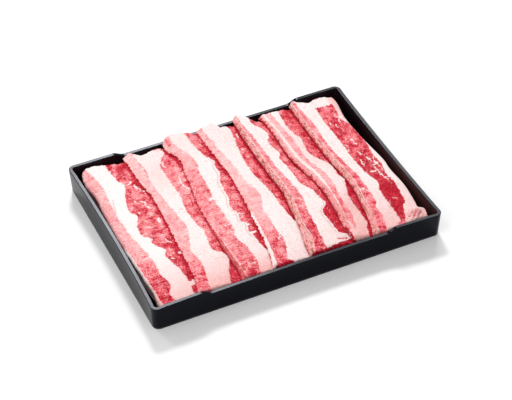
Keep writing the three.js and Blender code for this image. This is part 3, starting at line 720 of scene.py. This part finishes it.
def fat_and_lean(i, points):
    """Six numbers at each point: lean, millimetres inside the lean; tone, 0 pale to 1 dark; blush, how pink
    the fat is; brown, how far it is a cut side; seam, thin lines; streaky, 1 where fibres run lengthwise.
    The bands come first. A cut side at the rim, patches of lean, strokes of fat, painted shade in the crease
    beside the next slice, painted shade at the foot of the edge, pale strands and thin seams change them one
    after the other."""
    band = BANDS[i]
    x, y, z = np.moveaxis(points, -1, 0)
    u = x + SLANT_X * (z - PLAN_HEIGHT)
    v = y + SLANT_Y * (z - PLAN_HEIGHT)
    rough = layered(u, v, BORDER_LUMPS, i)
    pink = along(band["pink"], v) - u
    if "pink_from" in band:
        pink = np.minimum(pink, u - along(band["pink_from"], v))
    red = u - along(band["red"], v)
    if "red_to" in band:
        back_end = band["red_back"] + layered(u, v / 4, BACK_END_LUMPS)
        red = np.minimum(np.minimum(red, along(band["red_to"], v) - u), back_end - v)
    lean = np.maximum(pink, red) + rough
    tone = np.where(pink > red, along(band["pink_tone"], v), along(band["red_tone"], v))
    brown = np.zeros_like(u)
    if "rim" in band:
        inside = along(band["rim"], v) - u + 0.5 * rough
        rim_tone = along(band.get("rim_tone", ALL_FAT), v)
        lean = np.where(inside > 0, np.where(rim_tone < 0, -0.5 * ease(inside), 2.0), lean)
        tone = np.where((inside > 0) & (rim_tone > 0), rim_tone, tone)
        brown = band.get("brown", 0) * ease(inside / 0.8 + 0.3)
        if "brown" in band:
            lean = np.minimum(lean, 1.6 * np.abs(inside) - 0.3)
    for stroke in band["lean"]:
        patch = rough - to_stroke(u, v, stroke)
        tone = mix(tone, stroke[5], ease(patch + 0.8))
        brown = brown * (1 - ease(patch + 0.5))
        lean = np.maximum(lean, patch)
    bent_u, bent_v = [place + VEIN_BEND * lumps(u, v, VEIN_LUMP, seed) for place, seed in ((u, 98), (v, 99))]
    for stroke in band["fat"]:
        lean = np.minimum(lean, to_stroke(bent_u, bent_v, stroke) + min(1.1, 1.5 * stroke[4]) * rough)
    # Painted crease shade beside the next slice's edge, partly the darker wet lean there, and a painted
    # contact shadow where the two touch: the lean's tone rises.
    if i < LAST:
        to_next = left_edge(i + 1, y) - x
        crease_shade = ease(1.15 - to_next / (CREASE_WIDTH * (1 + 0.5 * lumps(v, 30.0 * i, 8.0, 95))))
        contact_shadow = ease(1.4 - to_next / CONTACT_WIDTH)
        tone = tone + (CREASE_SHADE_TONES[i] * crease_shade + CONTACT_SHADOW_TONE * contact_shadow) * (pink < red)
    # Painted shade on the foot of the edge, where it rests on the slice before: the tone rises to near the
    # darkest red.
    if i:
        shade_at_foot = foot_shade(i, x, y, z)
        tone = mix(tone, np.maximum(tone, FOOT_SHADE_TONE), shade_at_foot)
        lean = np.maximum(lean, 2 * shade_at_foot - 0.6)
        brown = brown * (1 - 0.7 * shade_at_foot)
    for stroke in band.get("strands", []):
        tone = mix(tone, stroke[5], ease(0.75 + rough - to_stroke(bent_u, bent_v, stroke)))
    seam = np.zeros_like(u)
    for stroke in band.get("seams", []):
        seam = np.maximum(seam, ease(1 - to_stroke(u, v, stroke) / 0.5))
    if "membrane" in band:
        low, high = band["membrane"]
        beside = np.abs(red + MEMBRANE_PLACE + 0.5 * lumps(u, v, 6.0, 91))
        ends = ease((v - low) / MEMBRANE_FADE) * ease((high - v) / MEMBRANE_FADE)
        seam = np.maximum(seam, ease(1.2 - beside / LINE_BLUR) * ends)
    blush = along(band["blush"], v)
    if i == LAST:
        back_corner = ease((u - CORNER_U) / CORNER_FADE_U) * ease((v - CORNER_V) / CORNER_V)
        blush = blush + CORNER_BLUSH * back_corner
    return {"lean": lean, "tone": np.clip(tone, 0, 0.98), "blush": blush, "brown": brown,
            "seam": seam, "streaky": np.full_like(u, STREAKY[i])}


# %% [markdown]
# ## Relief
# A cut face is never flat. Broad soft swells come first, then small lumps, and the lean lies a little lower
# than the fat because it shrinks as it dries. All of it fades out where the next slice rests on this one.

# %% Raise and lower the upper sheet
SWELL, LUMP, FAT_STEP, SEAM_DEPTH = 0.3, 0.2, 0.25, 0.25
SMALL_LUMPS = [(1.0, 3.0, 61), (0.7, 1.2, 71)]
FOLDS = {4: [(15, -82, 19, -84, 2.6, 0.9), (44, -78, 46, -81, 2.0, -0.6)],
         5: [(56, -80, 60, -84, 4.0, 1.3), (66, -80, 67, -85, 2.6, 0.8), (51, -82, 51, -86, 1.8, 0.6)],
         6: [(103, -76.5, 111, -78.5, 4.0, 1.2), (107.2, -77.5, 101, -84.4, 1.1, 0.8),
             (110.4, -79.8, 103.8, -86, 1.1, 0.8), (113, -83, 106.5, -88, 1.1, 0.7),
             (67, -86, 74, -86, 3.0, 1.2), (76, -78, 77, -88, 1.3, -0.6)]}


def relief(i, points):
    """Height to add in mm: swells of 10 mm, lumps of 3 and 1 mm that are larger in the lean, a step down
    into the lean, a groove along each seam, and for each fold of fat a long bump or hollow: its height times
    e to the minus cube of the distance from its line."""
    x, y, _ = np.moveaxis(points, -1, 0)
    fields = fat_and_lean(i, points)
    in_lean = ease(fields["lean"] / 1.6 + 0.5)
    swell = SWELL * lumps(x, y, 10.0, 51 + i)
    for *line, radius, height in FOLDS.get(i, []):
        away = to_stroke(x, y, [*line, 0.0]) / radius + 0.2 * lumps(x, y, 2.5, 81)
        swell = swell + height * np.exp(-np.maximum(away, 0) ** 3)
    small = LUMP * (0.5 + in_lean) * layered(x, y, SMALL_LUMPS, i)
    open_top = ease((0.97 - share) / 0.1) * ease(turn / 0.6) * (step == 0)
    return (swell + small - FAT_STEP * in_lean - SEAM_DEPTH * fields["seam"]) * open_top * ease(rise)


def build_slice(i):
    """The upper and the lower sheet, welded along their border into one closed body with its attributes."""
    upper = solve(i, True)
    upper[..., 2] += relief(i, upper)
    lower = solve(i, False)[FACE_ROWS:-FACE_ROWS]
    rows, columns = upper.shape[:2]
    top = grid_faces(rows, columns)
    under = grid_faces(rows - 2 * FACE_ROWS, columns, first=rows * columns)[:, ::-1]
    points = np.concatenate([upper.reshape(-1, 3), lower.reshape(-1, 3)])
    points, faces = weld(points, np.concatenate([top, under]))
    piece = make_piece(f"brisket_slice_{i + 1}", points, faces)
    for name, values in fat_and_lean(i, points).items():
        layer = piece.data.attributes.new(name, "FLOAT", "POINT")
        layer.data.foreach_set("value", values.astype(np.float32))
    return piece


slices = [build_slice(i) for i in range(len(SHAPES))]
print("triangles of the slices:", sum(2 * len(piece.data.polygons) for piece in slices))

# %% [markdown]
# ## Nodes in few words
# A material is a small graph. Each of these tools adds a node to the graph that its inputs belong to, sets
# or links them and returns an output, so that a material reads like a list of steps.

# %% Node tools and colours
def new_material(name):
    """An empty node material, and its shader, joined to its output."""
    material = bpy.data.materials.new(name)
    material.use_nodes = True
    tree = material.node_tree
    tree.nodes.clear()
    shader = tree.nodes.new("ShaderNodeBsdfPrincipled")
    tree.links.new(shader.outputs[0], tree.nodes.new("ShaderNodeOutputMaterial").inputs[0])
    return material, shader


def feed(node, inputs):
    """Links or sets a node's own sockets, by number or name."""
    for key, value in inputs.items():
        if isinstance(value, bpy.types.NodeSocket):
            node.id_data.links.new(value, node.inputs[key])
        else:
            node.inputs[key].default_value = value


def add(kind, inputs, output=0, tree=None, **options):
    """Adds a node with its options and inputs, and returns the output asked for."""
    for value in inputs.values():
        tree = value.id_data if isinstance(value, bpy.types.NodeSocket) else tree
    node = tree.nodes.new("ShaderNode" + kind)
    for option, value in options.items():
        setattr(node, option, value)
    feed(node, inputs)
    return node.outputs[output]


def mapped(material, scales):
    """The position on the object, times a scale for each axis."""
    return add("Mapping", {0: add("TexCoord", {}, 3, material.node_tree), 3: scales})


def attribute(material, name):
    """A point attribute of the mesh."""
    return add("Attribute", {}, 2, material.node_tree, attribute_name=name)


def noise(vector, scale, detail, roughness=0.5, distortion=0.0, output=0):
    """Cloudy noise from 0 to 1, or with output 1 three of them."""
    return add("TexNoise", {"Vector": vector, "Scale": scale, "Detail": detail, "Roughness": roughness,
                            "Distortion": distortion}, output)


def calc(operation, first, second=0.0, third=0.0):
    """One step of arithmetic."""
    return add("Math", {0: first, 1: second, 2: third}, operation=operation)


def plus(first, second):
    return calc("ADD", first, second)


def times(first, second):
    return calc("MULTIPLY", first, second)


def scaled(value, factor, offset):
    """value times factor plus offset."""
    return calc("MULTIPLY_ADD", value, factor, offset)


def smooth(value, low, high):
    """0 on low's side, 1 on high's side, and an S-shaped change between them."""
    return add("MapRange", {"Value": value, "From Min": low, "From Max": high},
               interpolation_type="SMOOTHSTEP")


def ridge(value, width):
    """1 where a noise crosses its middle, 0 further off than width: thin winding lines."""
    return smooth(calc("ABSOLUTE", calc("SUBTRACT", value, 0.5)), width, 0.0)


def blend(factor, first, second):
    """Mixes two colours by a factor."""
    return add("Mix", {0: factor, 6: first, 7: second}, 2, data_type="RGBA")


def colour(red, green, blue):
    """A screen colour from 0 to 255 as the linear values that a shader takes."""
    channel = np.array([red, green, blue]) / 255
    linear = np.where(channel < 0.04045, channel / 12.92, ((channel + 0.055) / 1.055) ** 2.4)
    return (*linear.tolist(), 1.0)


# %% [markdown]
# ## Raw meat
# The attributes say where the lean is. The material roughens that border with noise, so that fine fingers of
# fat and lean reach into each other, and then mixes two surfaces. It could be done with a painted picture,
# but a pattern made by nodes stays sharp at any distance. It all comes from a few noises in millimetres:
# grains, clouds, and clumps of fibres that lie across the band, or lengthwise where `streaky` is 1.

# %% The noises of the meat
MILLIMETRES = (1000.0, 1000.0, 1000.0)
ACROSS_BAND = (420.0, 1000.0, 800.0)
ALONG_BAND = (1300.0, 300.0, 1300.0)
WRINKLE = {"Scale": 0.13, "Distortion": 7.0, "Detail": 2.0, "Detail Scale": 0.35, "Detail Roughness": 0.6}
CELL_PUSH, CELL_STRETCH = (5.0, 5.0, 5.0), (1.0, 0.8, 0.6)

beef, beef_shader = new_material("raw_beef_lean_and_fat")
mm, across, lengthwise = [mapped(beef, scales) for scales in (MILLIMETRES, ACROSS_BAND, ALONG_BAND)]
lean, tone, blush, brown, seam, streaky = [
    attribute(beef, name) for name in ("lean", "tone", "blush", "brown", "seam", "streaky")]
grain = noise(mm, 1.3, 3.0, 0.7)
cloud = noise(mm, 0.17, 2.0)
edge = noise(mm, 0.55, 5.0, 0.65)
clump = noise(across, 0.45, 3.0, 0.6, 0.8)
long_clump = noise(lengthwise, 0.45, 3.0, 0.6, 0.4)
not_streaky = calc("SUBTRACT", 1.0, streaky)
bundle = plus(times(long_clump, streaky), times(clump, not_streaky))
thread = ridge(clump, 0.03)
inside = plus(lean, scaled(edge, 3.2, -1.6))
is_lean = smooth(inside, -0.45, 0.45)
print("noises of the meat, nodes so far:", len(beef.node_tree.nodes))

# %% [markdown]
# Two patterns lie over fat and lean alike: wrinkles, which are wavering bands across the slice, broken up by
# noise, and cells with thin seams, darker where the clouds are thick and paler elsewhere.

# %% Wrinkles and cells
wave = add("TexWave", {"Vector": mm, **WRINKLE}, 1, bands_direction="Y")
wrinkle = times(smooth(wave, 0.72, 0.97), smooth(edge, 0.42, 0.58))
push = noise(mm, 0.35, 2.0, output=1)
pushed = add("VectorMath", {0: push, 1: CELL_PUSH, 2: mm}, operation="MULTIPLY_ADD")
bent = add("Mapping", {0: pushed, 3: CELL_STRETCH})
cell = add("TexVoronoi", {"Vector": bent, "Scale": 0.42}, feature="DISTANCE_TO_EDGE")
cell_seam = smooth(cell, 0.13, 0.02)
seam_tone = times(cell_seam, scaled(smooth(cloud, 0.35, 0.6), 0.7, -0.32))
creased = plus(wrinkle, cell_seam)
print("with wrinkles and cells:", len(beef.node_tree.nodes))

# %% [markdown]
# The lean takes its colour from a ramp, pale pink to dark red. Its tone is the attribute with clumps, grains
# and clouds, all stronger in the dark lean, and with thin darker threads across the pale lean.

# %% The lean
LEAN_TONES = [(252, 210, 208), (248, 166, 169), (240, 106, 117), (214, 46, 66), (184, 8, 38)]

strength = times(scaled(smooth(tone, 0.1, 0.6), 0.72, 0.28), scaled(smooth(tone, 0.72, 1.0), -0.35, 1.0))
mottled = plus(scaled(bundle, 1.0, -0.5), plus(scaled(grain, 2.3, -1.15), scaled(cloud, 0.9, -0.45)))
uneven = times(mottled, scaled(streaky, -0.3, 1.0))
threads = times(thread, scaled(smooth(tone, 0.6, 0.1), 0.34, 0.06))
wrinkle_tone = times(scaled(smooth(tone, 0.6, 0.95), -0.6, 0.28), not_streaky)
lined = scaled(seam_tone, strength, scaled(wrinkle, wrinkle_tone, threads))
toned = plus(plus(tone, lined), times(uneven, strength))
lean_colour = add("ValToRGB", {0: toned})
ramp = lean_colour.node.color_ramp
for spot in (0.25, 0.5, 0.75):
    ramp.elements.new(spot)
for stop, rgb in zip(ramp.elements, LEAN_TONES):
    stop.color = colour(*rgb)
print("tones of the lean:", [round(stop.position, 2) for stop in ramp.elements])

# %% [markdown]
# Marbling: fine pale lines where one bundle meets the next, broken up by a coarser noise, and short specks,
# both fewer where the lean is darkest. The cut side of a slice is seen along its fibres: it has brown and
# pale streaks that run lengthwise.

# %% Marbling and cut sides
MARBLE = colour(252, 206, 204)
BROWN_STREAK, PALE_STREAK = colour(186, 90, 82), colour(248, 194, 187)

vein = times(ridge(scaled(cloud, 0.6, times(bundle, 0.4)), 0.012), smooth(edge, 0.45, 0.56))
speck = times(smooth(noise(lengthwise, 0.8, 2.0), 0.62, 0.7), smooth(cloud, 0.42, 0.58))
not_darkest = times(smooth(tone, 1.1, 0.75), 0.75)
marbled = blend(times(calc("MAXIMUM", vein, speck), not_darkest), lean_colour, MARBLE)
streak = noise(lengthwise, 0.9, 3.0, distortion=0.8)
streaks = blend(smooth(streak, 0.38, 0.58), BROWN_STREAK, PALE_STREAK)
sided = blend(times(brown, smooth(cloud, 0.25, 0.6)), marbled, streaks)
print("with marbling and cut sides:", len(beef.node_tree.nodes))

# %% [markdown]
# Fat is nearly white, pinker towards the front, close to the lean and along its wrinkles. Raw meat is soft
# and moist, so a little light goes in, and the shine is weak and uneven.

# %% The fat and the whole surface
FAT_WHITE, FAT_PINK = colour(252, 245, 243), colour(243, 182, 178)
SEAM_PINK = colour(214, 128, 124)

faint = scaled(thread, 0.06, scaled(grain, 0.55, -0.27))
near_lean = scaled(smooth(inside, -2.0, -0.1), 0.1, blush)
pinker = scaled(creased, 0.14, plus(near_lean, faint))
surface = blend(is_lean, blend(pinker, FAT_WHITE, FAT_PINK), sided)
height = scaled(grain, 0.8, plus(bundle, times(creased, -0.35)))
feed(beef_shader, {
    "Base Color": blend(times(seam, 0.6), surface, SEAM_PINK),
    "Roughness": scaled(grain, 0.3, 0.2),
    "Specular IOR Level": 0.06,
    "Subsurface Weight": 0.15, "Subsurface Radius": (1.0, 0.3, 0.25), "Subsurface Scale": 0.0025,
    "Normal": add("Bump", {"Strength": 0.6, "Distance": 0.0008, "Height": height})})
for number, piece in enumerate(slices, start=1):
    piece.data.materials.append(beef)
    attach(piece, "root")
    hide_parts(f"slice_{number}")
print("meat material nodes:", len(beef.node_tree.nodes))

# %% [markdown]
# ## Black plastic
# The tray is a glossy black moulding with a very fine texture. It is nearly black where it faces the front
# and picks up the studio's light on its rim and at a low angle, so the colour stays dark and the roughness
# does the work. Its inner side also mirrors the meat, most of all beside the last slice, and that reflection
# is painted. A point attribute says where, and gives that side a faint red-brown painted reflection in its
# base colour.

# %% The tray's material
# The third colour is a painted reflection of the meat on the inner side.
BLACK, WORN_BLACK, PAINTED_MEAT_REFLECTION = colour(5, 6, 12), colour(9, 10, 18), colour(66, 38, 36)

plastic, plastic_shader = new_material("black_moulded_plastic")
ripple = noise(mapped(plastic, MILLIMETRES), 0.12, 1.0)
smear = noise(mapped(plastic, MILLIMETRES), 0.05, 3.0)
feed(plastic_shader, {
    "Base Color": blend(attribute(plastic, "inner"), blend(smear, BLACK, WORN_BLACK), PAINTED_MEAT_REFLECTION),
    "Roughness": scaled(smear, 0.08, 0.15),
    "Specular IOR Level": 0.09, "Specular Tint": (0.86, 0.88, 1.0, 1.0),
    "Normal": add("Bump", {"Strength": 0.05, "Distance": 0.0006, "Height": ripple})})
tray.data.materials.append(plastic)
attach(tray, "root")
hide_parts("tray")
print("plastic material nodes:", len(plastic.node_tree.nodes))

# %% [markdown]
# ## Floor and light
# A white table and a bright room: the world gives even light from everywhere. A small bright key stands far
# at the back, a little to the right, so that it shines along the rims and leaves the slices' left sides in
# a light shade. A second back panel lights the right rim. A broad front panel fills the slices' front ends,
# and a left panel their left sides. A small panel at the back left shines on the front rim's right ramp.

# %% Floor, panels and world
AIM = (0, 0, 0.02)
PANELS = [("key_panel", (0.52, 1.66, 1.63), 0.42, 30.5), ("front_panel", (-0.3, -1.6, 1.1), 1.2, 8.0),
          ("back_panel", (1.2, 1.6, 1.6), 0.56, 12.0), ("ramp_panel", (-0.62, 1.38, 1.36), 0.26, 5.0),
          ("left_panel", (-1.2, -0.35, 0.85), 0.9, 6.5)]
FLOOR_HALF, FLOOR_LEVEL = 1500.0, -0.2
ROOM_LIGHT = 0.42


def panel(name, location, size, power):
    """A square soft light at a place in metres, turned to look at the tray."""
    light = bpy.data.lights.new(name, "AREA")
    light.size = size
    light.energy = power
    holder = new_object(name, light)
    holder.location = location
    aim = Vector(AIM) - Vector(location)
    holder.rotation_euler = aim.to_track_quat("-Z", "Y").to_euler()


def floor_piece():
    """A flat square 3 m wide, a hair under the tray."""
    corners = [(-FLOOR_HALF, -FLOOR_HALF, FLOOR_LEVEL), (FLOOR_HALF, -FLOOR_HALF, FLOOR_LEVEL),
               (FLOOR_HALF, FLOOR_HALF, FLOOR_LEVEL), (-FLOOR_HALF, FLOOR_HALF, FLOOR_LEVEL)]
    mesh = bpy.data.meshes.new("table_top")
    mesh.from_pydata((np.array(corners) * MM).tolist(), [], [[0, 1, 2, 3]])
    table, shader = new_material("white_table")
    feed(shader, {"Base Color": (0.95, 0.95, 0.95, 1), "Roughness": 0.6, "Specular IOR Level": 0.2})
    piece = new_object("table_top", mesh)
    piece.data.materials.append(table)


floor_piece()
for name, location, size, power in PANELS:
    panel(name, location, size, power)
world = bpy.data.worlds.new("bright_room")
world.use_nodes = True
world.node_tree.nodes["Background"].inputs[0].default_value = (1.0, 1.0, 1.0, 1)
world.node_tree.nodes["Background"].inputs[1].default_value = ROOM_LIGHT
bpy.context.scene.world = world
bpy.context.scene.view_settings.view_transform = "Standard"
print("panels:", len(PANELS))

# %% [markdown]
# ## Camera
# The camera looks down from the front left. Its place is given as an azimuth, an elevation, a roll and a
# distance, and it is moved a little sideways in its own plane to frame the tray.

# %% Place the camera
AZIMUTH, ELEVATION, ROLL = -24.368, 41.815, -1.0
DISTANCE, SHIFT_RIGHT, SHIFT_UP = 1402.2, 3.0, 8.35
FOCAL_PIXELS, IMAGE_WIDTH, SENSOR = 1715.9, 512, 36.0


def camera_axes():
    """Right, up and back axes: back points from the tray to the camera, right is level, and then the first
    two are turned about the third by the roll."""
    a, e, r = (math.radians(angle) for angle in (AZIMUTH, ELEVATION, ROLL))
    back = Vector((math.sin(a) * math.cos(e), -math.cos(a) * math.cos(e), math.sin(e)))
    right = Vector((math.cos(a), math.sin(a), 0))
    up = back.cross(right)
    return math.cos(r) * right + math.sin(r) * up, -math.sin(r) * right + math.cos(r) * up, back


right, up, back = camera_axes()
lens = bpy.data.cameras.new("photo_camera")
lens.sensor_width = SENSOR
lens.lens = SENSOR * FOCAL_PIXELS / IMAGE_WIDTH
camera = new_object("photo_camera", lens)
turned = Matrix((right, up, back)).transposed().to_4x4()
turned.translation = (DISTANCE * back + SHIFT_RIGHT * right + SHIFT_UP * up) * MM
camera.matrix_world = turned
bpy.context.scene.camera = camera
print("lens:", round(lens.lens, 2), "mm")
